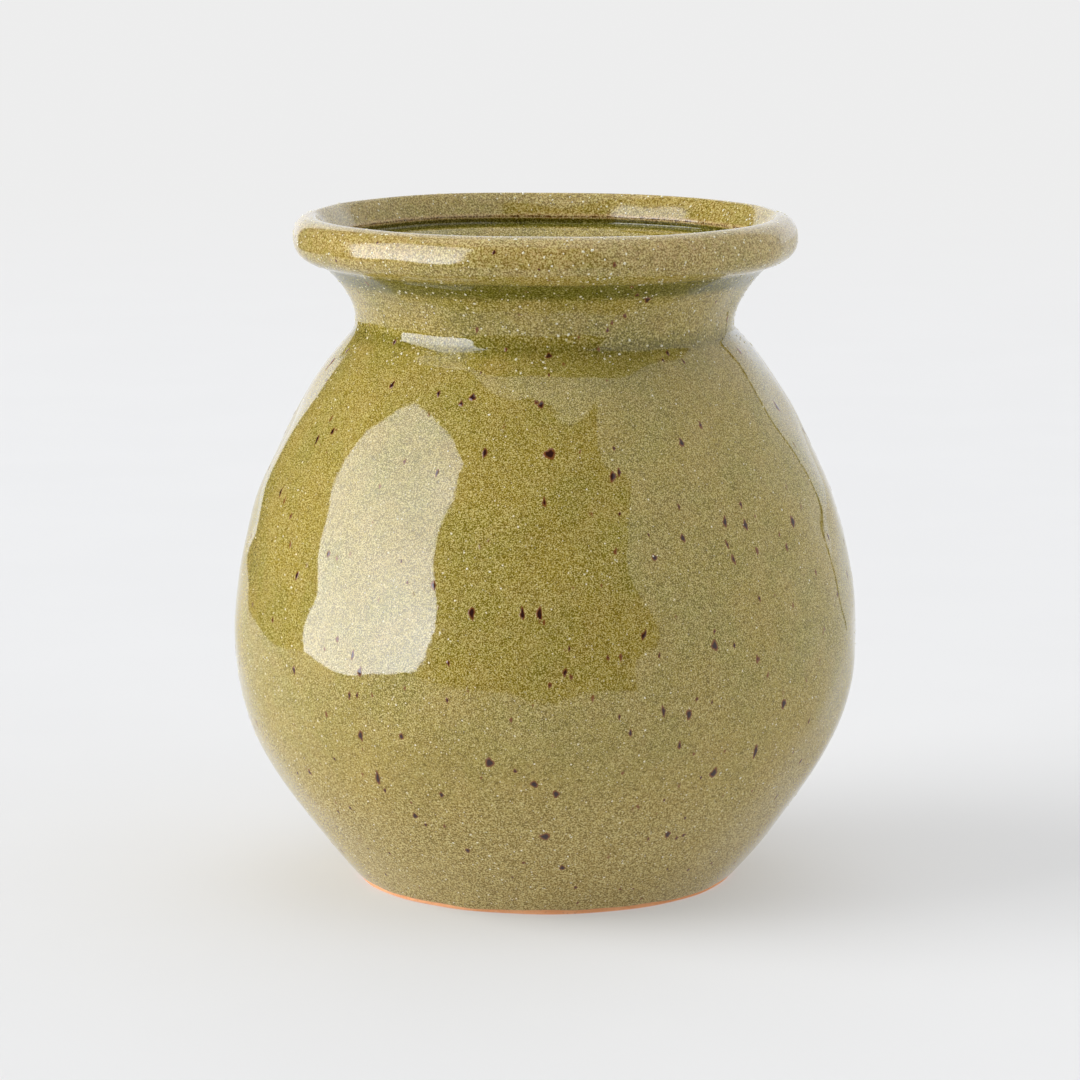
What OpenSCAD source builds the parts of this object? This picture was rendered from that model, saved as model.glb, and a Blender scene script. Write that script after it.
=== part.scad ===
// Wheel-thrown stoneware vase: full round belly, short flared neck, thick rolled rim.
// One fired clay body carries two coats of glass: an outer glaze that laps over the rim,
// and a liner glaze that waterproofs the inside. Origin: centre of the foot, +Z up, mm.

/* [Overall] */
// Height from the foot to the crest of the rim
height = 125; // [121:1:135]
// Radius of the belly at its widest
belly_r = 58.65; // [54:0.05:64]
// Height of the widest part of the belly
belly_z = 46.8; // [42:0.1:52]

/* [Foot] */
// Radius of the glaze surface where it would meet the table
foot_r = 35.4; // [33:0.1:38]
// Lean of the wall away from upright where it leaves the foot
foot_lean = 40.2; // [34:0.1:46]
// Height of the upright bare clay band under the glaze
bare_h = 0.9; // [0.5:0.1:2]
// Width of the ring that the vase stands on
ring_w = 5; // [4:0.5:7]
// Depth of the turned recess inside the ring
recess_h = 1.8; // [1:0.1:2.4]
// Chamfer on both edges of the ring
ring_chamfer = 0.4; // [0.2:0.1:0.8]

/* [Neck] */
// Radius of the crease between shoulder and neck
crease_r = 35.3; // [33:0.1:37]
// Height of the crease
crease_z = 104.2; // [102:0.1:106]
// Lean of the shoulder away from upright where it meets the crease
shoulder_lean = 42.4; // [38:0.1:46]
// Radius of the flared neck under the rim
neck_top_r = 41.8; // [41:0.1:42.4]
// Drop from the crest to where the neck meets the underside of the rim
neck_top_drop = 9; // [8.5:0.1:9.6]

/* [Rim] */
// Radius of the rolled rim at its widest
rim_r = 47; // [46:0.1:49]
// Drop from the crest to the widest part of the rim
rim_drop = 4.4; // [4:0.1:4.8]
// Radius of the crest
crest_r = 43.1; // [42.5:0.1:44]
// Radius of the inner edge, where the glaze breaks thin
lip_r = 39.9; // [39.4:0.1:40.4]
// Drop from the crest to the inner edge
lip_drop = 4.5; // [4:0.1:5]
// Depth of the finger groove that undercuts the inner edge
groove_depth = 0.4; // [0.2:0.1:0.6]

/* [Walls] */
// Wall thickness at the belly, glaze included
wall_t = 4.6; // [4:0.1:6]
// Thickness at the throat, glaze included
throat_t = 4.1; // [3.6:0.1:5]
// Height of the inside floor above the table
floor_z = 6.6; // [6:0.1:9]
// Radius of the flat middle of the inside floor
floor_r = 20; // [12:1:24]

/* [Glaze] */
// Usual glaze thickness
glaze_t = 0.5; // [0.3:0.05:0.7]
// Glaze thickness where it runs thin on the inner edge of the rim
thin_t = 0.2; // [0.15:0.05:0.3]
// Glaze thickness where it pools in the crease and under the rim
pool_t = 0.9; // [0.6:0.05:1]
// Length of the rounded lower edge of the outer glaze
edge_l = 0.8; // [0.5:0.1:1.5]

/* [Hidden] */
round_fn = 128;

clay_colour = [0.74, 0.47, 0.29];
glaze_colour = [0.58, 0.53, 0.26];
liner_colour = [0.52, 0.49, 0.24];

// Steps along the long and the short stretches of the outline
long_steps = 16;
short_steps = 6;

// A point of the outline is [radius, height, glaze depth], so the depth blends with the shape.
function bezier(a, b, c, d, steps) =
    [for (i = [1:steps]) let (t = i / steps, s = 1 - t)
        s * s * s * a + 3 * s * s * t * b + 3 * s * t * t * c + t * t * t * d];

// A step of the given length, leaning away from upright by the given angle
function lean(angle, length) = [length * sin(angle), length * cos(angle), 0];

// Outer surface of the glaze, from the table up and over the crest to the inner edge
foot = [foot_r, 0, glaze_t];
belly = [belly_r, belly_z, glaze_t];
shoulder = [crease_r + 0.8, crease_z - 1.2, glaze_t];
crease = [crease_r, crease_z + 0.2, pool_t];
neck_foot = [crease_r + 0.1, crease_z + 1.6, glaze_t];
neck_top = [neck_top_r, height - neck_top_drop, pool_t];
rim_side = [rim_r, height - rim_drop, glaze_t];
crest = [crest_r, height, 0.8 * glaze_t];
bevel_foot = [lip_r + 0.15, height - lip_drop + 0.6, 1.5 * thin_t];
lip = [lip_r, height - lip_drop, thin_t];

outer_line = concat(
    [foot],
    bezier(foot, foot + lean(foot_lean, 27), belly - [0, 16.6, 0], belly, long_steps),
    bezier(belly, belly + [0, 15.2, 0], shoulder - lean(-shoulder_lean, 23.8), shoulder, long_steps),
    bezier(shoulder, shoulder + lean(-shoulder_lean, 0.7), crease - [0, 0.4, 0], crease, short_steps),
    bezier(crease, crease + [0, 0.5, 0], neck_foot - lean(6, 0.4), neck_foot, short_steps),
    bezier(neck_foot, neck_foot + lean(9, 4.6), neck_top - lean(54, 2.3), neck_top, short_steps + 2),
    bezier(neck_top, neck_top + lean(77, 2.5), rim_side - [0, 3, 0], rim_side, short_steps + 2),
    bezier(rim_side, rim_side + [0, 2.6, 0], crest + [2.3, 0, 0], crest, short_steps + 1),
    bezier(crest, crest - [0.75, 0, 0], bevel_foot + lean(30.5, 1.9), bevel_foot, short_steps + 1),
    bezier(bevel_foot, bevel_foot - lean(30.5, 0.25), lip + [0, 0.25, 0], lip, 3)
);

// Inner surface of the liner glaze, from the inner edge down to the middle of the floor
groove = [lip_r + groove_depth, height - lip_drop - 0.9, 0.8 * pool_t];
groove_foot = [lip_r - 0.9, height - lip_drop - 1.9, glaze_t];
throat = [crease_r - throat_t, crease_z + 0.3, glaze_t];
under_shoulder = [crease_r - throat_t + 1.4, crease_z - 3.8, glaze_t];
belly_inside = [belly_r - wall_t, belly_z, glaze_t];
floor_edge = [floor_r, floor_z, glaze_t];
floor_centre = [0, floor_z, glaze_t];

inner_line = concat(
    [lip],
    bezier(lip, lip - [0, 0.3, 0], groove + [0, 0.3, 0], groove, short_steps),
    bezier(groove, groove - [0, 0.5, 0], groove_foot + lean(58, 0.4), groove_foot, short_steps),
    bezier(groove_foot, groove_foot - lean(62, 3.2), throat + [0, 8, 0], throat, short_steps + 2),
    bezier(throat, throat - [0, 1.5, 0], under_shoulder + lean(-34, 1.2), under_shoulder, short_steps),
    bezier(under_shoulder, under_shoulder - lean(-shoulder_lean, 21.5),
        belly_inside + [0, 14.5, 0], belly_inside, long_steps),
    bezier(belly_inside, belly_inside - [0, 22, 0], floor_edge + [17, 0, 0], floor_edge, long_steps),
    [floor_centre]
);

// Unit normal of a line at point i, towards the air: to the right of the walk along the line
function normal(line, i) =
    let (
        before = line[max(i - 1, 0)],
        after = line[min(i + 1, len(line) - 1)],
        along = [after.x - before.x, after.y - before.y]
    )
    [along.y, -along.x] / norm(along);

// The clay surface lies under the glaze, deeper by the glaze depth of each point
function under(line) =
    [for (i = [0:len(line) - 1]) [line[i].x, line[i].y] - normal(line, i) * line[i].z];

function flat(line) = [for (p = line) [p.x, p.y]];
function reversed(line) = [for (i = [len(line) - 1:-1:0]) line[i]];

// Both coats and the clay share one point at the inner edge, so the coats meet there
lip_under = [lip_r + thin_t, height - lip_drop];
outer_clay = concat([for (i = [0:len(outer_line) - 2]) under(outer_line)[i]], [lip_under]);
inner_clay = concat(
    [lip_under],
    [for (i = [1:len(inner_line) - 2]) under(inner_line)[i]],
    [[0, floor_z - glaze_t]]
);

// Radius of the clay wall at a height just above the foot
clay_foot_r = outer_clay[0].x;
wall_slope = tan(foot_lean);
function clay_r_at(z) = clay_foot_r + (z - outer_clay[0].y) * wall_slope;

// Rounded lower edge of the outer glaze, from the bare band out to the full thickness
edge_steps = 5;
edge_up = [sin(foot_lean), cos(foot_lean)];
edge_out = [cos(foot_lean), -sin(foot_lean)];
edge_start = [clay_r_at(bare_h), bare_h];
glaze_edge = [for (i = [0:edge_steps]) let (a = 90 * i / edge_steps)
    edge_start + edge_up * edge_l * (1 - cos(a)) + edge_out * glaze_t * sin(a)];
edge_top_z = edge_start.y + edge_l;

// Half section of the clay: foot ring, outer wall, rim, inner wall and floor
module clay_section() {
    polygon(concat(
        [
            [0, recess_h],
            [edge_start.x - ring_w - recess_h, recess_h],
            [edge_start.x - ring_w, ring_chamfer],
            [edge_start.x - ring_w + ring_chamfer, 0],
            [edge_start.x - ring_chamfer, 0],
            [edge_start.x, ring_chamfer],
            edge_start
        ],
        [for (p = outer_clay) if (p.y > edge_top_z) p],
        [for (i = [1:len(inner_clay) - 1]) inner_clay[i]]
    ));
}

// Half section of the outer coat: it laps over the rim and stops above the foot
module outer_glaze_section() {
    polygon(concat(
        glaze_edge,
        [for (p = flat(outer_line)) if (p.y > edge_top_z) p],
        reversed([for (p = outer_clay) if (p.y > edge_top_z) p])
    ));
}

// Half section of the liner coat: down the inside and across the floor
module inner_glaze_section() {
    polygon(concat(flat(inner_line), reversed(inner_clay)));
}

module clay_body() {
    color(clay_colour)
        rotate_extrude($fn = round_fn)
            clay_section();
}

module outer_glaze() {
    color(glaze_colour)
        rotate_extrude($fn = round_fn)
            outer_glaze_section();
}

module inner_glaze() {
    color(liner_colour)
        rotate_extrude($fn = round_fn)
            inner_glaze_section();
}

clay_body();
outer_glaze();
inner_glaze();
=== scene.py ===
import math

import bpy
import numpy as np
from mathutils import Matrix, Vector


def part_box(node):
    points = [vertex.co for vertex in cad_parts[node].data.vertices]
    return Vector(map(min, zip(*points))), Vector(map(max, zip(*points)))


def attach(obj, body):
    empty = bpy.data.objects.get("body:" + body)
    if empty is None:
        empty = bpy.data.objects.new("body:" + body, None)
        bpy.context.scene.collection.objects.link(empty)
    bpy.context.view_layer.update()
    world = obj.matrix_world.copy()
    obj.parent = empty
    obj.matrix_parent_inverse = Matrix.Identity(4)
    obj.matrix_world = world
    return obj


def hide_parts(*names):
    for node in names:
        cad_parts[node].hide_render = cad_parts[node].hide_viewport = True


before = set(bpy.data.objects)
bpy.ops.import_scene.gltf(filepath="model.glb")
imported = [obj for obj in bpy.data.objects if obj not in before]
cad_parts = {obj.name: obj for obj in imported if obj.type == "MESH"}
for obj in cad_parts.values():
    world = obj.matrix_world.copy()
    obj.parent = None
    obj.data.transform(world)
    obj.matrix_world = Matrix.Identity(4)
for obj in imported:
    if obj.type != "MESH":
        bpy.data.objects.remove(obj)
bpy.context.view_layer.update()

MM = 0.001

# ---------------------------------------------------------------- outline of the pot, in mm
# The same driving sizes as the solids; the overall ones are read from the frame.

glaze_low, glaze_high = (np.array(corner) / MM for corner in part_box("outer_glaze"))
HEIGHT = glaze_high[2]
BELLY_R = (glaze_high[0] - glaze_low[0]) / 2

BELLY_Z = 46.8
FOOT_R = 35.4
FOOT_LEAN = 40.2
BARE_H = 0.9
RING_W = 5.0
RECESS_H = 1.8
RING_CHAMFER = 0.4
CREASE_R = 35.3
CREASE_Z = 104.2
SHOULDER_LEAN = 42.4
NECK_TOP_R = 41.8
NECK_TOP_DROP = 9.0
RIM_R = 47.0
RIM_DROP = 4.4
CREST_R = 43.1
LIP_R = 39.9
LIP_DROP = 4.5
GROOVE_DEPTH = 0.4
WALL_T = 4.6
THROAT_T = 4.1
FLOOR_Z = 6.6
FLOOR_R = 20.0
GLAZE_T = 0.5
THIN_T = 0.2
POOL_T = 0.9
EDGE_L = 0.8


def point(radius, height, depth=GLAZE_T):
    """A point of the half section: radius, height and the glaze's depth there."""
    return np.array([radius, height, depth])


def up(length):
    return np.array([0.0, length, 0.0])


def out(length):
    return np.array([length, 0.0, 0.0])


def lean(angle, length):
    """A step of the given length that leans away from upright by angle degrees."""
    return out(length * math.sin(math.radians(angle))) + up(length * math.cos(math.radians(angle)))


def bezier(a, b, c, d, steps):
    """Points along a cubic curve, without its first point."""
    t = np.linspace(0, 1, steps + 1)[1:, None]
    s = 1 - t
    return s**3 * a + 3 * s * s * t * b + 3 * s * t * t * c + t**3 * d


foot = point(FOOT_R, 0)
belly = point(BELLY_R, BELLY_Z)
shoulder = point(CREASE_R + 0.8, CREASE_Z - 1.2)
crease = point(CREASE_R, CREASE_Z + 0.2, POOL_T)
neck_foot = point(CREASE_R + 0.1, CREASE_Z + 1.6)
neck_top = point(NECK_TOP_R, HEIGHT - NECK_TOP_DROP, POOL_T)
rim_side = point(RIM_R, HEIGHT - RIM_DROP)
crest = point(CREST_R, HEIGHT, 0.8 * GLAZE_T)
bevel_foot = point(LIP_R + 0.15, HEIGHT - LIP_DROP + 0.6, 1.5 * THIN_T)
lip = point(LIP_R, HEIGHT - LIP_DROP, THIN_T)
groove = point(LIP_R + GROOVE_DEPTH, HEIGHT - LIP_DROP - 0.9, 0.8 * POOL_T)
groove_foot = point(LIP_R - 0.9, HEIGHT - LIP_DROP - 1.9)
throat = point(CREASE_R - THROAT_T, CREASE_Z + 0.3)
under_shoulder = point(CREASE_R - THROAT_T + 1.4, CREASE_Z - 3.8)
belly_inside = point(BELLY_R - WALL_T, BELLY_Z)
floor_edge = point(FLOOR_R, FLOOR_Z)
floor_centre = point(0, FLOOR_Z)


def outer_line(fine):
    """Outer surface of the glaze from the table over the crest to the inner edge."""
    lean_in = lean(-SHOULDER_LEAN, 1)
    return np.vstack([
        foot,
        bezier(foot, foot + lean(FOOT_LEAN, 27), belly - up(16.6), belly, 42 * fine),
        bezier(belly, belly + up(15.2), shoulder - 23.8 * lean_in, shoulder, 44 * fine),
        bezier(shoulder, shoulder + 0.7 * lean_in, crease - up(0.4), crease, 5 * fine),
        bezier(crease, crease + up(0.5), neck_foot - lean(6, 0.4), neck_foot, 5 * fine),
        bezier(neck_foot, neck_foot + lean(9, 4.6), neck_top - lean(54, 2.3), neck_top, 11 * fine),
        bezier(neck_top, neck_top + lean(77, 2.5), rim_side - up(3), rim_side, 11 * fine),
        bezier(rim_side, rim_side + up(2.6), crest + out(2.3), crest, 9 * fine),
        bezier(crest, crest - out(0.75), bevel_foot + lean(30.5, 1.9), bevel_foot, 8 * fine),
        bezier(bevel_foot, bevel_foot - lean(30.5, 0.25), lip + up(0.25), lip, 3 * fine),
    ])


def inner_line(fine):
    """Inner surface of the liner glaze from the inner edge to the middle of the floor."""
    lean_in = lean(-SHOULDER_LEAN, 1)
    return np.vstack([
        lip,
        bezier(lip, lip - up(0.3), groove + up(0.3), groove, 4 * fine),
        bezier(groove, groove - up(0.5), groove_foot + lean(58, 0.4), groove_foot, 4 * fine),
        bezier(groove_foot, groove_foot - lean(62, 3.2), throat + up(8), throat, 12 * fine),
        bezier(throat, throat - up(1.5), under_shoulder + lean(-34, 1.2), under_shoulder, 5 * fine),
        bezier(under_shoulder, under_shoulder - 21.5 * lean_in, belly_inside + up(14.5),
               belly_inside, 20 * fine),
        bezier(belly_inside, belly_inside - up(22), floor_edge + out(17), floor_edge, 20 * fine),
        bezier(floor_edge, floor_edge - out(6), floor_centre + out(6), floor_centre, 6 * fine),
    ])


def normals(line):
    """Unit normals of a half section towards the air, to the right of the walk along it."""
    along = np.gradient(line[:, :2], axis=0)
    side = np.stack([along[:, 1], -along[:, 0]], axis=1)
    return side / np.linalg.norm(side, axis=1)[:, None]


def under(line):
    """The clay's surface under a glaze line."""
    below = line.copy()
    below[:, :2] -= normals(line) * line[:, 2:3]
    return below


# ---------------------------------------------------------------- the hand in the making

# Ripples round the pot: size in mm, waves in one turn, phase.
OVAL = ((0.12, 2, 0.6), (0.07, 3, 2.1))
SWAY = ((0.16, 1, 2.4), (0.09, 3, 0.4), (0.05, 7, 0.0))
EDGE_RUN = ((0.22, 5, 0.8), (0.16, 11, 2.0), (0.10, 23, 1.1))
# Height in mm by which the run of the lower edge has faded out
EDGE_RUN_TOP = 5

# Extra glaze in the crease, in mm, how far up and down it reaches, and the angle in radians
# at which it is deepest.
CREASE_FILL = 0.34
CREASE_FILL_REACH = 1.5
CREASE_FILL_ANGLE = -0.6

# The unevenness fades out below this height, so the foot stands flat, and within this radius,
# so the middle of the floor stays smooth.
SETTLE_TOP = 3
STEADY_R = 12

# Slanting throwing waves: waves in one turn, height of one wave in mm, size in mm, phase.
# A higher wave is a larger one, up to LONG_WAVE.
WAVE_COUNT = 22
WAVE_STEEPNESS = 0.0016
LONG_WAVE = 22
wave_random = np.random.default_rng(11)
WAVES = [
    (int(turns), rise, WAVE_STEEPNESS * min(rise, LONG_WAVE), phase)
    for turns, rise, phase in zip(
        wave_random.integers(-19, 20, WAVE_COUNT),
        wave_random.uniform(9, 40, WAVE_COUNT),
        wave_random.uniform(0, 2 * math.pi, WAVE_COUNT),
    )
]


def ripples(wave, terms, angle):
    """Sum of the ripples round the pot at an angle, as np.cos or np.sin waves."""
    return sum(size * wave(turns * angle + phase) for size, turns, phase in terms)


def wobble(angle, z):
    """Radial unevenness of a hand-thrown wall, in mm."""
    total = ripples(np.cos, OVAL, angle)
    for turns, rise, size, phase in WAVES:
        total = total + size * np.sin(turns * angle + 2 * math.pi * z / rise + phase)
    return total


def lift(angle, z):
    """Vertical unevenness: none at the foot, a little at the rim, in mm."""
    return ripples(np.cos, SWAY, angle) * np.clip(z / HEIGHT, 0, 1) ** 3


def edge_drop(angle, z):
    """How far the glaze's lower edge runs up or down the wall near the foot, in mm."""
    return ripples(np.sin, EDGE_RUN, angle) * np.clip(1 - z / EDGE_RUN_TOP, 0, 1) ** 2


def pooled(angle, radius, z):
    """Glaze that ran down and filled the crease more at the front left, in mm."""
    skin = np.clip((radius - CREASE_R) / 0.3 + 1.5, 0, 1)
    fill = np.exp(-((z - CREASE_Z + 0.3) / CREASE_FILL_REACH) ** 2)
    side = 0.5 + 0.5 * np.cos(angle - CREASE_FILL_ANGLE)
    return CREASE_FILL * skin * fill * side**2


def place(angle, radius, z, running_edge=False):
    """Position in metres of a point of the half section turned to an angle."""
    if running_edge:
        run = edge_drop(angle, z)
        radius = radius + run * math.tan(math.radians(FOOT_LEAN))
        z = z + run
    settle = np.clip(z / SETTLE_TOP, 0, 1)
    radius = radius + pooled(angle, radius, z)
    radius = radius + wobble(angle, z) * np.where(radius > STEADY_R, 1, radius / STEADY_R)
    z = z + lift(angle, z) * settle
    return np.stack([radius * np.sin(angle), -radius * np.cos(angle), z], axis=-1) * MM


def near(r, z, middle, reach):
    """1 at a point of the section, falling off over reach mm."""
    return np.exp(-((r - middle[0]) ** 2 + (z - middle[1]) ** 2) / reach**2)


# Where the glaze looks deeper (hollows) or thinner (edges): place, reach and change in mm. The
# groove's entry is partly pooled glaze and partly painted shade under the inner lip.
POOLS_AND_SHADE = (
    (crease - up(0.4), 2.4, 0.20),
    (neck_top - lean(54, 1.6), 2.4, 0.50),
    # Partly pooled glaze, partly painted shade: far deeper than a pool, so the groove under the lip
    # is painted as dark as its shadow.
    (groove - up(0.3), 0.9, 1.2),
    (lip + up(0.1), 0.5, -0.46),
    (crest + out(1.8) - up(2.8), 5.2, -0.17),
)


def look_depth_and_shade(r, z):
    """How deep the glaze looks: it pools in the hollows and breaks thin on the edges, and the
    groove under the lip also carries painted shade.
    """
    return GLAZE_T + sum(change * near(r, z, middle, reach) for middle, reach, change in POOLS_AND_SHADE)


# ---------------------------------------------------------------- meshes


def new_object(name, verts, faces, material, smooth=True):
    mesh = bpy.data.meshes.new(name)
    mesh.from_pydata([tuple(v) for v in verts], [], faces)
    mesh.update()
    if smooth:
        mesh.polygons.foreach_set("use_smooth", [True] * len(mesh.polygons))
    mesh.materials.append(material)
    piece = bpy.data.objects.new(name, mesh)
    bpy.context.scene.collection.objects.link(piece)
    return piece


def set_attribute(piece, name, values):
    layer = piece.data.attributes.new(name, "FLOAT", "POINT")
    layer.data.foreach_set("value", np.asarray(values, dtype=np.float32).ravel())


def revolve(name, line, turns, material, closed, running_edge=False):
    """A solid of revolution from a half section. A section that isn't closed ends on the axis."""
    angle = np.linspace(0, 2 * math.pi, turns, endpoint=False)[:, None]
    ends = 0 if closed else 1
    ring = line[ends:len(line) - ends]
    verts = place(angle, ring[None, :, 0], ring[None, :, 1], running_edge)
    rows = len(ring)
    verts = verts.reshape(-1, 3)
    depth = np.tile(look_depth_and_shade(ring[:, 0], ring[:, 1]), turns)
    steps = rows if closed else rows - 1
    faces = []
    for i in range(turns):
        here, there = i * rows, ((i + 1) % turns) * rows
        for j in range(steps):
            k = (j + 1) % rows
            faces.append((here + j, there + j, there + k, here + k))
    if not closed:
        first, last = len(verts), len(verts) + 1
        tips = np.array([[0, 0, line[0, 1]], [0, 0, line[-1, 1]]]) * MM
        verts = np.vstack([verts, tips])
        depth = np.concatenate([depth, [GLAZE_T, GLAZE_T]])
        for i in range(turns):
            here, there = i * rows, ((i + 1) % turns) * rows
            faces.append((first, there, here))
            faces.append((last, here + rows - 1, there + rows - 1))
    piece = new_object(name, verts, faces, material)
    set_attribute(piece, "glaze_depth_and_shade", depth)
    return piece


# ---------------------------------------------------------------- materials


class Graph:
    """A material's nodes, built one call at a time."""

    def __init__(self, name):
        self.material = bpy.data.materials.new(name)
        self.material.use_nodes = True
        self.tree = self.material.node_tree
        self.tree.nodes.clear()

    def node(self, kind, inputs=None, **settings):
        made = self.tree.nodes.new(kind)
        for key, value in settings.items():
            setattr(made, key, value)
        for key, value in (inputs or {}).items():
            self.put(made.inputs[key], value)
        return made

    def put(self, socket, value):
        if isinstance(value, bpy.types.NodeSocket):
            self.tree.links.new(value, socket)
        else:
            socket.default_value = value

    def math(self, operation, a, b=0.0, c=0.0):
        return self.node("ShaderNodeMath", {0: a, 1: b, 2: c}, operation=operation).outputs[0]

    def range(self, value, low, high, to_low=0.0, to_high=1.0):
        """value from low..high to to_low..to_high, clamped, with soft ends."""
        made = self.node(
            "ShaderNodeMapRange",
            {"Value": value, "From Min": low, "From Max": high,
             "To Min": to_low, "To Max": to_high},
            interpolation_type="SMOOTHSTEP",
        )
        return made.outputs["Result"]

    def mix(self, factor, a, b, blend="MIX"):
        made = self.node("ShaderNodeMix", data_type="RGBA", blend_type=blend)
        self.put(made.inputs[0], factor)
        for socket, value in ((made.inputs[6], a), (made.inputs[7], b)):
            self.put(socket, value if isinstance(value, bpy.types.NodeSocket) else (*value, 1.0))
        return made.outputs[2]

    def millimetres(self):
        """Object coordinates in mm."""
        coordinates = self.node("ShaderNodeTexCoord").outputs["Object"]
        return self.node(
            "ShaderNodeVectorMath", {0: coordinates, "Scale": 1 / MM}, operation="SCALE"
        ).outputs["Vector"]

    def noise(self, where, size, detail=2.0, roughness=0.5):
        """Soft noise with features about size mm across."""
        made = self.node(
            "ShaderNodeTexNoise",
            {"Vector": where, "Scale": 1 / size, "Detail": detail, "Roughness": roughness},
        )
        return made.outputs["Fac"]

    def cells(self, where, size, feature="F1"):
        """Cells about size mm across: the node, with its Distance and Color."""
        inputs = {"Vector": where, "Scale": 1 / size}
        return self.node("ShaderNodeTexVoronoi", inputs, feature=feature)

    def dots(self, where, size, radius, share):
        """Scattered dots: 1 inside. size is their spacing, share how many cells have one."""
        cell = self.cells(where, size)
        pick = self.node("ShaderNodeSeparateColor", {"Color": cell.outputs["Color"]})
        chosen = self.math("LESS_THAN", pick.outputs["Red"], share)
        share_of_cell = radius / size
        reach = self.math(
            "MULTIPLY_ADD", pick.outputs["Green"], share_of_cell * 0.6, share_of_cell * 0.5
        )
        ratio = self.math("DIVIDE", cell.outputs["Distance"], reach)
        return self.math("MULTIPLY", self.range(ratio, 1.0, 0.55), chosen)

    def bump(self, height):
        """A bump from a height in mm."""
        inputs = {"Height": height, "Distance": MM, "Strength": 1.0}
        return self.node("ShaderNodeBump", inputs).outputs["Normal"]

    def finish(self, **inputs):
        shader = self.node("ShaderNodeBsdfPrincipled")
        for key, value in inputs.items():
            self.put(shader.inputs[key.replace("_", " ")], value)
        self.node("ShaderNodeOutputMaterial", {"Surface": shader.outputs["BSDF"]})
        return self.material


GLASS_IOR = 1.54

# Colours of the glaze
OLIVE = (0.42, 0.315, 0.050)
MOSS = (0.36, 0.300, 0.050)
TAN = (0.49, 0.350, 0.105)
THIN_GLAZE = (0.60, 0.41, 0.19)
BROKEN_GLAZE = (0.17, 0.080, 0.022)
# Dark green of pooled glaze, also used as painted shade in the groove under the lip
POOLED_GLAZE_AND_SHADE = (0.17, 0.155, 0.014)
GRAIN_SHADE = (0.42, 0.38, 0.16)
PALE_GRAIN = (0.66, 0.56, 0.23)
PIT = (0.13, 0.10, 0.015)
PIN = (0.10, 0.06, 0.01)
GRIT = (0.84, 0.79, 0.58)

# Colours of the iron spots, the standing grit and the bare clay
RUST = (0.22, 0.078, 0.018)
IRON = (0.034, 0.010, 0.007)
STANDING_GRIT = ((0.78, 0.72, 0.46), (0.94, 0.91, 0.74))
CLAY = ((0.90, 0.41, 0.185), (0.98, 0.50, 0.25))
CLAY_PORE = (0.42, 0.19, 0.08)
CLAY_GROG = (0.90, 0.62, 0.40)
CLAY_IRON = (0.05, 0.02, 0.012)

# Sizes in mm of what shows in the glaze, from clouds of colour down to its grain
CLOUD_SIZE = 13
DRIFT_SIZE = 4.5
PEEL_SIZE = 3.4
FLOW_SIZE = 1.4
RIPPLE_SIZE = 1.2
PATCH_SIZE = 0.9
WEB_SIZE = 0.62
COARSE_GRAIN = 0.31
FINE_GRAIN = 0.21

# Dots in the glaze and the clay: spacing and radius in mm, share of the places that have one
PITS = (0.60, 0.12, 0.55)
PINS = (1.7, 0.17, 0.2)
FINE_GRIT = (0.90, 0.16, 0.45)
CLAY_IRON_DOTS = (2.2, 0.3, 0.2)

# Heights in mm between which the glaze changes: tan, gritty and coarse towards the foot, and
# coarse again towards the rim
TAN_BELOW = (52, 8)
GRITTY_BELOW = (60, 15)
COARSE_BELOW = (45, 15)
COARSE_ABOVE = (98, 106)


def glaze_tone(graph, where, height_mm, depth):
    """Colour of the glaze without its grain: it drifts, pools dark and breaks thin and brown; the
    pooled colour also paints the shade in the groove under the lip.
    """
    clouds = graph.range(graph.noise(where, CLOUD_SIZE, 3, 0.55), 0.36, 0.64)
    drift = graph.range(graph.noise(where, DRIFT_SIZE, 2), 0.42, 0.68)
    colour = graph.mix(clouds, MOSS, OLIVE)
    colour = graph.mix(graph.math("MULTIPLY", drift, 0.4), colour, TAN)
    colour = graph.mix(graph.range(height_mm, *TAN_BELOW, 0.0, 0.80), colour, TAN)
    # Pooled glaze, and painted shade in the groove under the lip
    colour = graph.mix(graph.range(depth, 0.52, 0.86), colour, POOLED_GLAZE_AND_SHADE)
    colour = graph.mix(graph.range(depth, 0.50, 0.18), colour, THIN_GLAZE)
    return graph.mix(graph.range(depth, 0.17, 0.05), colour, BROKEN_GLAZE)


def glaze_grain(graph, where, height_mm):
    """Fine grain, 0 to 1, coarser near the foot and on the neck and rim."""
    coarse = graph.math(
        "MAXIMUM", graph.range(height_mm, *COARSE_BELOW),
        graph.range(height_mm, *COARSE_ABOVE, 0.0, 0.8),
    )
    fine_grain = graph.noise(where, FINE_GRAIN, 1, 0.5)
    coarser = graph.math("SUBTRACT", graph.noise(where, COARSE_GRAIN, 1, 0.5), fine_grain)
    return graph.math("MULTIPLY_ADD", coarser, coarse, fine_grain)


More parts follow.
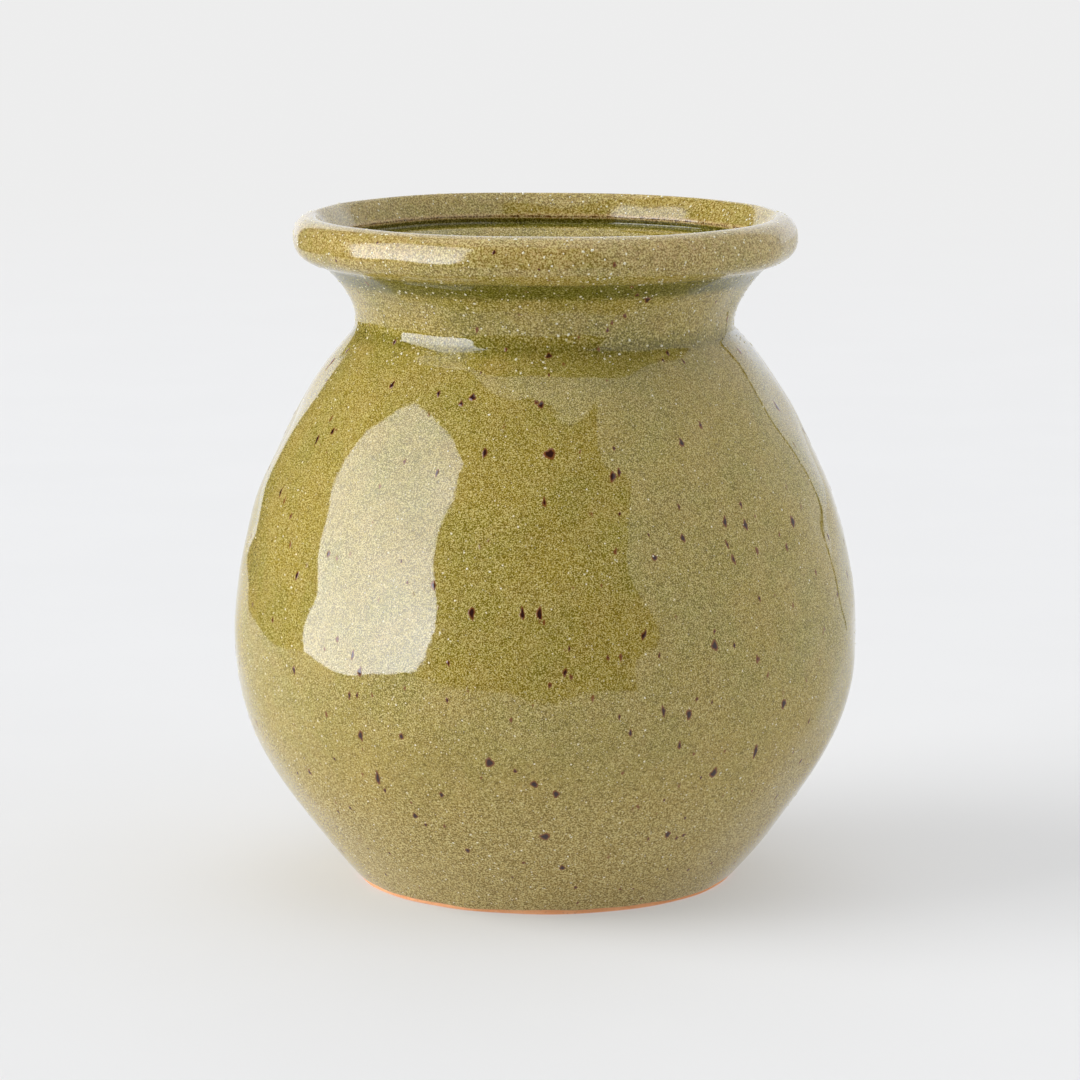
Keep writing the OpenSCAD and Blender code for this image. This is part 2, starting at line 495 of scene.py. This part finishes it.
def glaze_look(graph, where):
    """Colour, roughness and surface height in mm of the glaze at a place."""
    # Depth of the glaze, with painted shade in the groove under the lip
    depth = graph.node("ShaderNodeAttribute", attribute_name="glaze_depth_and_shade").outputs["Fac"]
    height_mm = graph.node("ShaderNodeSeparateXYZ", {"Vector": where}).outputs["Z"]
    ragged = graph.math("MULTIPLY_ADD", graph.noise(where, FLOW_SIZE, 3, 0.6), 0.30, -0.15)
    rough_depth = graph.math("ADD", depth, ragged)
    colour = glaze_tone(graph, where, height_mm, rough_depth)

    grain = glaze_grain(graph, where, height_mm)
    patches = graph.range(graph.noise(where, PATCH_SIZE, 2), 0.42, 0.58)
    web_distance = graph.cells(where, WEB_SIZE, "DISTANCE_TO_EDGE").outputs["Distance"]
    web = graph.math("MULTIPLY", graph.range(web_distance, 0.12, 0.02), patches)
    shade = graph.math("MAXIMUM", graph.range(grain, 0.50, 0.38), web)
    colour = graph.mix(shade, colour, GRAIN_SHADE, "MULTIPLY")
    paleness = graph.range(rough_depth, 0.56, 0.80, 0.95, 0.35)
    pale = graph.math("MULTIPLY", graph.range(grain, 0.52, 0.64), paleness)
    colour = graph.mix(pale, colour, PALE_GRAIN)

    pits = graph.dots(where, *PITS)
    colour = graph.mix(graph.math("MULTIPLY", pits, 0.65), colour, PIT)
    pins = graph.dots(where, *PINS)
    colour = graph.mix(graph.math("MULTIPLY", pins, 0.9), colour, PIN)
    fine_grit = graph.dots(where, *FINE_GRIT)
    gritty = graph.math("MULTIPLY", fine_grit, graph.range(height_mm, *GRITTY_BELOW, 0.65, 1.0))
    colour = graph.mix(gritty, colour, GRIT)

    height = graph.math("MULTIPLY", graph.noise(where, PEEL_SIZE, 2), 0.010)
    height = graph.math("MULTIPLY_ADD", graph.noise(where, RIPPLE_SIZE, 2), 0.006, height)
    height = graph.math("MULTIPLY_ADD", grain, 0.0009, height)
    height = graph.math("MULTIPLY_ADD", fine_grit, 0.015, height)
    roughness = graph.range(grain, 0.3, 0.7, 0.02, 0.05)
    roughness = graph.math("ADD", roughness, graph.range(depth, 0.49, 0.36, 0.0, 0.10))
    return colour, roughness, height


def glaze_material(name):
    graph = Graph(name)
    colour, roughness, height = glaze_look(graph, graph.millimetres())
    return graph.finish(
        Base_Color=colour, Roughness=roughness, Normal=graph.bump(height), IOR=GLASS_IOR
    )


def iron_material():
    """Iron that has boiled up through the glaze: near black, rusty at its edge."""
    graph = Graph("iron_spot")
    where = graph.millimetres()
    colour, roughness, height = glaze_look(graph, where)
    core = graph.node("ShaderNodeAttribute", attribute_name="iron").outputs["Fac"]
    ragged = graph.noise(where, 0.45, 2, 0.65)
    strength = graph.math("ADD", core, graph.math("MULTIPLY_ADD", ragged, 0.4, -0.2))
    colour = graph.mix(graph.range(strength, 0.0, 0.18), colour, RUST)
    colour = graph.mix(graph.range(strength, 0.24, 0.58), colour, IRON)
    height = graph.math("MULTIPLY_ADD", ragged, 0.006, height)
    return graph.finish(
        Base_Color=colour, Roughness=roughness, Normal=graph.bump(height), IOR=GLASS_IOR
    )


def grit_material():
    """Pale grit that stands up under the glaze."""
    graph = Graph("pale_grit")
    where = graph.millimetres()
    tone = graph.range(graph.noise(where, 0.9, 2), 0.35, 0.65)
    colour = graph.mix(tone, *STANDING_GRIT)
    grain = graph.noise(where, 0.2, 2)
    return graph.finish(
        Base_Color=colour,
        Roughness=graph.range(grain, 0.3, 0.7, 0.06, 0.16),
        Normal=graph.bump(graph.math("MULTIPLY", grain, 0.01)),
        IOR=GLASS_IOR,
    )


def clay_material():
    """Bare fired clay: orange tan, dry and gritty."""
    graph = Graph("fired_clay")
    where = graph.millimetres()
    tone = graph.range(graph.noise(where, 6, 3), 0.3, 0.7)
    colour = graph.mix(tone, *CLAY)
    grain = graph.noise(where, 0.5, 3, 0.7)
    colour = graph.mix(graph.range(grain, 0.45, 0.25, 0.0, 0.6), colour, CLAY_PORE)
    colour = graph.mix(graph.range(grain, 0.56, 0.75, 0.0, 0.6), colour, CLAY_GROG)
    iron = graph.dots(where, *CLAY_IRON_DOTS)
    colour = graph.mix(graph.math("MULTIPLY", iron, 0.85), colour, CLAY_IRON)
    height = graph.math("MULTIPLY", grain, 0.09)
    return graph.finish(
        Base_Color=colour,
        Roughness=graph.range(grain, 0.3, 0.7, 0.78, 0.95),
        Normal=graph.bump(height),
    )


# ---------------------------------------------------------------- clay and glaze

# How fine the outlines are, and the steps of a turn
FINE = 2
EDGE_POINTS = 9
GLAZE_TURNS = 300
CLAY_TURNS = 240
# The faces hidden between clay and glaze keep only one in so many points of the outline.
CLAY_SKIP = 3
GLAZE_SKIP = 6

outside = outer_line(FINE)
inside = inner_line(FINE)
outside_clay = under(outside)
inside_clay = under(inside)
lip_under = point(LIP_R + THIN_T, HEIGHT - LIP_DROP, THIN_T)
outside_clay[-1] = lip_under
inside_clay[0] = lip_under
inside_clay[-1] = point(0, FLOOR_Z - GLAZE_T)

wall_slope = math.tan(math.radians(FOOT_LEAN))


def clay_r_at(z):
    """Radius of the straight lowest stretch of the clay wall."""
    return outside_clay[0, 0] + (z - outside_clay[0, 1]) * wall_slope


edge_angle = np.radians(np.linspace(0, 90, EDGE_POINTS))[:, None]
edge_start = point(clay_r_at(BARE_H), BARE_H)
glaze_edge = (
    edge_start
    + EDGE_L * (1 - np.cos(edge_angle)) * lean(FOOT_LEAN, 1)
    + GLAZE_T * np.sin(edge_angle) * lean(FOOT_LEAN + 90, 1)
)
edge_top_z = BARE_H + EDGE_L

foot_edge_r = edge_start[0]
ring_inner = foot_edge_r - RING_W
foot_line = np.array([
    point(0, RECESS_H),
    point(ring_inner - RECESS_H - 6, RECESS_H),
    point(ring_inner - RECESS_H, RECESS_H),
    point(ring_inner - RECESS_H / 2, RECESS_H / 2 + RING_CHAMFER / 2),
    point(ring_inner, RING_CHAMFER),
    point(ring_inner + RING_CHAMFER / 3, RING_CHAMFER / 3),
    point(ring_inner + RING_CHAMFER, 0),
    point(foot_edge_r - RING_W / 2, 0),
    point(foot_edge_r - RING_CHAMFER, 0),
    point(foot_edge_r - RING_CHAMFER / 3, RING_CHAMFER / 4),
    point(foot_edge_r, RING_CHAMFER),
    edge_start,
])

clay_line = np.vstack([
    foot_line,
    outside_clay[outside_clay[:, 1] > edge_top_z][::CLAY_SKIP],
    lip_under,
    inside_clay[1:][::CLAY_SKIP],
    point(0, FLOOR_Z - GLAZE_T),
])
glaze_line = np.vstack([
    glaze_edge,
    outside[outside[:, 1] > edge_top_z],
    outside_clay[outside_clay[:, 1] > edge_top_z][::-GLAZE_SKIP],
])
liner_line = np.vstack([
    point(0, FLOOR_Z - GLAZE_T),
    inside_clay[1:-1][::-CLAY_SKIP],
    inside,
])

clay = revolve("clay_pot", clay_line, CLAY_TURNS, clay_material(), closed=False)
glaze = revolve("olive_glaze", glaze_line, GLAZE_TURNS, glaze_material("olive_glaze"),
                closed=True, running_edge=True)
liner = revolve("liner_glaze", liner_line, CLAY_TURNS, glaze_material("liner_glaze"),
                closed=False)

for piece, node, slot in (
    (clay, "clay_body", "fired_clay"),
    (glaze, "outer_glaze", "outer_glaze"),
    (liner, "inner_glaze", "liner_glaze"),
):
    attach(piece, "root")
    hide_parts(node)

# ---------------------------------------------------------------- iron spots and grit

outside_normals = normals(outside)
arc = np.concatenate([[0], np.cumsum(np.linalg.norm(np.diff(outside[:, :2], axis=0), axis=1))])
CREST_INDEX = int(np.argmax(outside[:, 1]))


def on_glaze(angle, along):
    """Places in metres, outward normals and look depths of the glaze, with the painted shade of the
    groove, at arc lengths in mm.
    """
    radius = np.interp(along, arc, outside[:, 0])
    z = np.interp(along, arc, outside[:, 1])
    nr = np.interp(along, arc, outside_normals[:, 0])
    nz = np.interp(along, arc, outside_normals[:, 1])
    size = np.hypot(nr, nz)
    normal = np.stack([np.sin(angle) * nr, -np.cos(angle) * nr, nz], axis=-1) / size[..., None]
    return place(angle, radius, z), normal, look_depth_and_shade(radius, z)


def along_at_height(z):
    """Arc length at which the outer surface reaches a height on its way up."""
    return np.interp(z, outside[:CREST_INDEX, 1], arc[:CREST_INDEX])


def mounds(name, marks, rings, corners, pinch, material, random):
    """One piece of many small uneven mounds that hug the glaze, each a closed solid.

    A mark is angle, arc length, width, length, tilt, rise and iron strength."""
    columns = np.array(marks).T[:, :, None]
    angle, along, width, length, tilt, rise, iron = columns
    count = len(marks)
    turn = np.linspace(0, 2 * math.pi, corners, endpoint=False)[None]
    phase = random.uniform(0, 2 * math.pi, (count, 1))
    lobes = 1 + 0.12 * np.cos(2 * turn + phase) + 0.14 * np.cos(3 * turn + 2 * phase)
    lobes = lobes + random.uniform(-0.12, 0.12, (count, corners))
    lobes = lobes / (np.abs(np.cos(turn)) + np.abs(np.sin(turn))) ** pinch
    radius = np.interp(along, arc, outside[:, 0])
    verts, core, depth = [], [], []
    for reach, level in (*rings, (0.0, 1.0), (0.0, -0.6)):
        x = 0.5 * width * reach * lobes * np.cos(turn)
        y = 0.5 * length * reach * lobes * np.sin(turn)
        if reach == 0:
            x, y = x[:, :1], y[:, :1]
        across = x * np.cos(tilt) - y * np.sin(tilt)
        upward = x * np.sin(tilt) + y * np.cos(tilt)
        spot, normal, look = on_glaze(angle + across / radius, along + upward)
        verts.append(spot + normal * (rise * level)[..., None] * MM)
        core.append(np.broadcast_to(iron * (1 - reach), x.shape))
        depth.append(look)
    verts = np.concatenate(verts, axis=1)
    core = np.concatenate(core, axis=1)
    depth = np.concatenate(depth, axis=1)
    one = []
    inner = (len(rings) - 1) * corners
    top, bottom = len(rings) * corners, len(rings) * corners + 1
    for k in range(corners):
        after = (k + 1) % corners
        for a in range(0, inner, corners):
            one.append((a + k, a + after, a + corners + after, a + corners + k))
        one.append((inner + k, inner + after, top))
        one.append((after, k, bottom))
    size = verts.shape[1]
    faces = [tuple(size * i + v for v in face) for i in range(count) for face in one]
    piece = new_object(name, verts.reshape(-1, 3), faces, material)
    set_attribute(piece, "iron", core)
    set_attribute(piece, "glaze_depth_and_shade", depth)
    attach(piece, "root")


def any_place(random, low, high):
    """A random angle and arc length, evenly spread over the surface."""
    while True:
        along = random.uniform(low, high)
        if random.uniform(0, BELLY_R) < np.interp(along, arc, outside[:, 0]):
            return random.uniform(-math.pi, math.pi), along


# Conspicuous iron spots of the front: degrees from the front, height, width and length in mm.
FRONT_SPOTS = [
    (1, 87, 2.0, 2.4), (1, 103, 1.3, 1.2), (-1, 95, 1.1, 1.7), (-18, 96, 1.2, 1.8),
    (-42, 97, 1.0, 1.7), (-13, 87, 0.8, 2.3), (-60, 86, 0.9, 2.2), (-55, 88, 0.9, 1.8),
    (14, 83, 1.0, 2.6), (31, 88, 1.0, 1.7), (42, 73, 1.0, 2.4), (37, 74, 0.9, 2.2),
    (56, 72, 1.2, 2.6), (27, 72, 0.8, 1.8), (-13, 60, 1.1, 2.6), (-4, 60, 0.9, 2.4),
    (-1, 60, 1.0, 2.9), (31, 53, 1.3, 2.4), (48, 40, 1.2, 2.4), (26, 41, 1.2, 2.0),
    (42, 32, 1.1, 2.8), (33, 29, 1.6, 2.3), (21, 42, 0.8, 2.1), (-10, 33, 1.5, 2.2),
    (-2, 29, 1.3, 1.6), (2, 27, 1.4, 1.8), (0, 18, 1.8, 2.0), (4, 11, 1.2, 1.4),
    (27, 17, 1.2, 1.9), (-34, 48, 0.9, 1.9), (-35, 36, 1.1, 2.2), (-26, 37, 0.9, 1.3),
    (-33, 28, 1.0, 3.2), (-20, 26, 1.0, 1.3), (-27, 21, 1.1, 1.4), (28, 113, 1.4, 1.3),
]
# The melt spreads them a little: factors on width and length.
SPOT_SPREAD = (1.3, 1.15)
FRONT_SPOT_RISE = 0.05

# Scattered spots: how many, between which arc lengths, and width, rise and iron of one. Larger
# ones are only scattered more than FRONT_HALF degrees from the front.
SPOT_COUNT = 540
SPOT_LOWEST = 3
SPOT_HIGHEST = along_at_height(HEIGHT - 0.5)
SPOT_WIDTH = (0.5, 1.15)
LARGE_SPOT_WIDTH = (0.9, 1.6)
LARGE_SHARE = 0.30
FRONT_HALF = 62
SPOT_RISE = 0.04
RUSTY_SHARE = 0.4
RUSTY_IRON = (0.10, 0.26)
BLACK_IRON = (0.45, 1.0)

# Standing grit. Some is left out low down and more of it between the middle of the belly and
# the neck. The neck and rim get all of it, and coarser.
GRIT_COUNT = 4400
GRIT_LOWEST = 2
GRIT_HIGHEST = arc[-1] - 0.6
BELLY_MIDDLE = 45
NECK_BOTTOM = 100
LEFT_OUT_LOW = 0.15
LEFT_OUT_HIGH = 0.6

# Rings of a mound from its rim inwards: reach as a share of its size, level as a share of its
# rise. The rim lies under the glaze.
SPOT_RINGS = ((1.0, -0.35), (0.8, 0.3), (0.5, 0.78))
GRIT_RINGS = ((1.0, -0.35), (0.6, 0.7))


def front_spots(random):
    """Marks of the conspicuous spots."""
    wide, long = SPOT_SPREAD
    return [
        (math.radians(azimuth), along_at_height(z), wide * width, long * length,
         math.radians(random.uniform(-12, 12)), FRONT_SPOT_RISE, 1.0)
        for azimuth, z, width, length in FRONT_SPOTS
    ]


def random_spot(random):
    """Mark of one scattered iron spot: longest half way up, and black or only rusty."""
    angle, along = any_place(random, SPOT_LOWEST, SPOT_HIGHEST)
    width = random.uniform(*SPOT_WIDTH)
    if random.uniform(0, 1) < LARGE_SHARE and abs(math.degrees(angle)) > FRONT_HALF:
        width = random.uniform(*LARGE_SPOT_WIDTH)
    stretch = 1.1 + 1.3 * math.sin(math.pi * along / SPOT_HIGHEST) * random.uniform(0.3, 1)
    rusty = random.uniform(0, 1) < RUSTY_SHARE
    iron = random.uniform(*(RUSTY_IRON if rusty else BLACK_IRON))
    return (angle, along, width, width * stretch, math.radians(random.uniform(-15, 15)),
            SPOT_RISE, iron)


def random_grit(random):
    """Mark of one speck of grit."""
    while True:
        angle, along = any_place(random, GRIT_LOWEST, GRIT_HIGHEST)
        z = np.interp(along, arc, outside[:, 1])
        left_out = LEFT_OUT_HIGH if z > BELLY_MIDDLE else LEFT_OUT_LOW
        if z >= NECK_BOTTOM or random.uniform(0, 1) >= left_out:
            break
    size = 0.17 + 0.30 * random.uniform(0, 1) ** 2.2 + 0.16 * (z > NECK_BOTTOM)
    return (angle, along, size, size * random.uniform(0.8, 1.4), random.uniform(0, math.pi),
            0.18 * size, 0.0)


spot_random = np.random.default_rng(5)
spots = front_spots(spot_random)
while len(spots) < SPOT_COUNT:
    spots.append(random_spot(spot_random))
mounds("iron_spots", spots, SPOT_RINGS, 12, 0.45, iron_material(), np.random.default_rng(21))

grit_random = np.random.default_rng(8)
grit = [random_grit(grit_random) for _ in range(GRIT_COUNT)]
mounds("grit_specks", grit, GRIT_RINGS, 6, 0.0, grit_material(), np.random.default_rng(34))

# ---------------------------------------------------------------- studio

# Middle of the studio, distance of its walls and its softbox, and half the floor's size
MIDDLE = np.array([0, 0, 0.06])
STUDIO_R = 10.0
SOFTBOX_R = 0.9 * STUDIO_R
FLOOR_HALF = 9.0

# Softbox in mm: from foot to top, from front to back, and its brightness from front to back.
SOFTBOX_RISE = (-1000, 6800)
SOFTBOX_DEPTH = (-6800, 1700)
SOFTBOX_FADE = (1.04, 0.76)


def emitter(name, colour, strength):
    """A glowing surface. A pair of strengths is at the softbox's foot and top, and such a
    light is dimmer towards the back."""
    graph = Graph(name)
    if isinstance(strength, tuple):
        where = graph.node("ShaderNodeSeparateXYZ", {"Vector": graph.millimetres()}).outputs
        strength = graph.math(
            "MULTIPLY",
            graph.range(where["Z"], *SOFTBOX_RISE, *strength),
            graph.range(where["Y"], *SOFTBOX_DEPTH, *SOFTBOX_FADE),
        )
    shade = graph.node("ShaderNodeEmission", {"Color": (*colour, 1.0), "Strength": strength})
    graph.node("ShaderNodeOutputMaterial", {"Surface": shade.outputs["Emission"]})
    return graph.material


def direction(azimuth, elevation):
    """Unit vector: azimuth 0 points at the camera, positive to its right."""
    a, e = math.radians(azimuth), math.radians(elevation)
    return np.array([math.cos(e) * math.sin(a), -math.cos(e) * math.cos(a), math.sin(e)])


def off_stage(obj, lights=True, mirrored=True):
    """Not seen by the camera. It may light the scene, be mirrored in the glaze, or both."""
    obj.visible_camera = False
    obj.visible_shadow = False
    obj.visible_diffuse = lights
    obj.visible_glossy = mirrored


def panel(name, azimuths, elevations, colour, strength, **use):
    """A light or a white wall seen from the pot between two azimuths and two elevations."""
    across = np.linspace(*azimuths, 25)
    rise = np.linspace(*elevations, 13)
    verts = [MIDDLE + STUDIO_R * direction(a, e) for e in rise for a in across]
    faces = []
    for j in range(len(rise) - 1):
        for i in range(len(across) - 1):
            k = j * len(across) + i
            faces.append((k, k + 1, k + 1 + len(across), k + len(across)))
    off_stage(new_object(name, verts, faces, emitter(name, colour, strength)), **use)


def softbox(name, corners, colour, strength, **use):
    """A flat-sided light whose corners are given as azimuth and elevation."""
    verts = [MIDDLE + SOFTBOX_R * direction(a, e) for a, e in corners]
    off_stage(new_object(name, verts, [tuple(range(len(verts)))],
                         emitter(name, colour, strength), smooth=False), **use)


WHITE = (1.0, 1.0, 1.0)
KEY_CORNERS = [
    (-47, -8.5), (-41.5, 1), (-40.5, 18), (-42, 33), (-40, 44), (-57, 51), (-85, 46),
    (-98, 33), (-101, 20), (-96, 4), (-95, -8),
]
# The pot is lit from a little farther left than where the light is mirrored.
KEY_TURN = 13
LIT_CORNERS = [(azimuth - KEY_TURN, elevation) for azimuth, elevation in KEY_CORNERS]
softbox("key_light", LIT_CORNERS, WHITE, 4.6, mirrored=False)
softbox("key_light_mirrored", KEY_CORNERS, (0.89, 0.94, 1.05), (8.6, 4.3), lights=False)

# Two white walls with a dark seam between them, and a ceiling
SEAM = (137, 138.3)
WALL_RISE = (-20, 60)
panel("right_wall", (36, SEAM[0]), WALL_RISE, WHITE, 0.88)
panel("back_wall", (SEAM[1], 206), WALL_RISE, (0.94, 0.98, 1.08), 1.16)
panel("ceiling", (0, 360), (60, 90), WHITE, 1.15)

# The seam goes on as a dark line across the mirrored table.
SEAM_NEAR = 0.33
SEAM_UP = np.array([0, 0, 0.0005])
seam_verts = [
    distance * direction(azimuth, 0) + SEAM_UP
    for azimuth, distance in (
        (SEAM[0], SEAM_NEAR), (SEAM[1], SEAM_NEAR), (SEAM[1], FLOOR_HALF), (SEAM[0], FLOOR_HALF)
    )
]
off_stage(
    new_object("wall_seam", seam_verts, [(0, 1, 2, 3)], emitter("wall_seam", WHITE, 0.04),
               smooth=False),
    lights=False,
)

# Brightness of the backdrop, of the dark room that the glaze mirrors, and of the dim fill
BACKDROP = 0.85
DARK_ROOM = 0.03
FILL = 0.25
# The table's own glow, and the distances in mm between which it turns into backdrop
FLOOR_GLOW = 0.33
FLOOR_FADE = (450, 1500)
FLOOR_TONES = ((0.476, 0.478, 0.482), (0.484, 0.486, 0.490))
BLACK = (0.0, 0.0, 0.0)


def studio_world():
    """Pale to the camera, dark in the glaze, dim light elsewhere."""
    world = bpy.data.worlds.new("studio")
    bpy.context.scene.world = world
    world.use_nodes = True
    nodes, links = world.node_tree.nodes, world.node_tree.links
    nodes.clear()
    rays = nodes.new("ShaderNodeLightPath")

    def background(level):
        made = nodes.new("ShaderNodeBackground")
        made.inputs["Color"].default_value = (level, level, level, 1)
        return made.outputs[0]

    def choose(factor, otherwise, chosen):
        made = nodes.new("ShaderNodeMixShader")
        links.new(rays.outputs[factor], made.inputs[0])
        links.new(otherwise, made.inputs[1])
        links.new(chosen, made.inputs[2])
        return made.outputs[0]

    unseen = choose("Is Glossy Ray", background(FILL), background(DARK_ROOM))
    surface = choose("Is Camera Ray", unseen, background(BACKDROP))
    links.new(surface, nodes.new("ShaderNodeOutputWorld").inputs["Surface"])


studio_world()


def floor_material():
    """The pale table near the pot, and only the glow of the backdrop far from it."""
    graph = Graph("pale_floor")
    where = graph.millimetres()
    tone = graph.range(graph.noise(where, 60, 2), 0.3, 0.7)
    colour = graph.mix(tone, *FLOOR_TONES)
    away = graph.node("ShaderNodeVectorMath", {0: where}, operation="LENGTH").outputs["Value"]
    far = graph.range(away, *FLOOR_FADE)
    return graph.finish(
        Base_Color=graph.mix(far, colour, BLACK),
        Roughness=graph.range(tone, 0, 1, 0.88, 0.92),
        Specular_IOR_Level=0.0,
        Emission_Color=(*WHITE, 1.0),
        Emission_Strength=graph.math("MULTIPLY_ADD", far, BACKDROP - FLOOR_GLOW, FLOOR_GLOW),
    )


def sheet_of(name, x, y, material):
    verts = [(x[0], y[0], 0), (x[1], y[0], 0), (x[1], y[1], 0), (x[0], y[1], 0)]
    sheet = new_object(name, verts, [(0, 1, 2, 3)], material, smooth=False)
    return sheet


# The white table ends in front and to the left. Past that the floor goes on for the eye, but
# the glaze mirrors the dark room beyond it.
TABLE_FRONT = -0.245
TABLE_LEFT = -0.38
pale_floor = floor_material()
sheet_of("table", (TABLE_LEFT, FLOOR_HALF), (TABLE_FRONT, FLOOR_HALF), pale_floor)
for name, x, y in (
    ("floor_in_front", (-FLOOR_HALF, FLOOR_HALF), (-FLOOR_HALF, TABLE_FRONT)),
    ("floor_to_the_left", (-FLOOR_HALF, TABLE_LEFT), (TABLE_FRONT, FLOOR_HALF)),
):
    sheet_of(name, x, y, pale_floor).visible_glossy = False

# ---------------------------------------------------------------- camera

# Place in metres, degrees down from level, and lens and sensor in mm
CAMERA_AT = (-0.00093, -0.8125, 0.2023)
CAMERA_PITCH = 9.70
LENS = 145.9
SENSOR = 36

camera = bpy.data.objects.new("camera", bpy.data.cameras.new("camera"))
bpy.context.scene.collection.objects.link(camera)
camera.data.sensor_width = SENSOR
camera.data.lens = LENS
camera.location = CAMERA_AT
camera.rotation_euler = (math.radians(90 - CAMERA_PITCH), 0, 0)
bpy.context.scene.camera = camera
bpy.context.scene.view_settings.view_transform = "Standard"
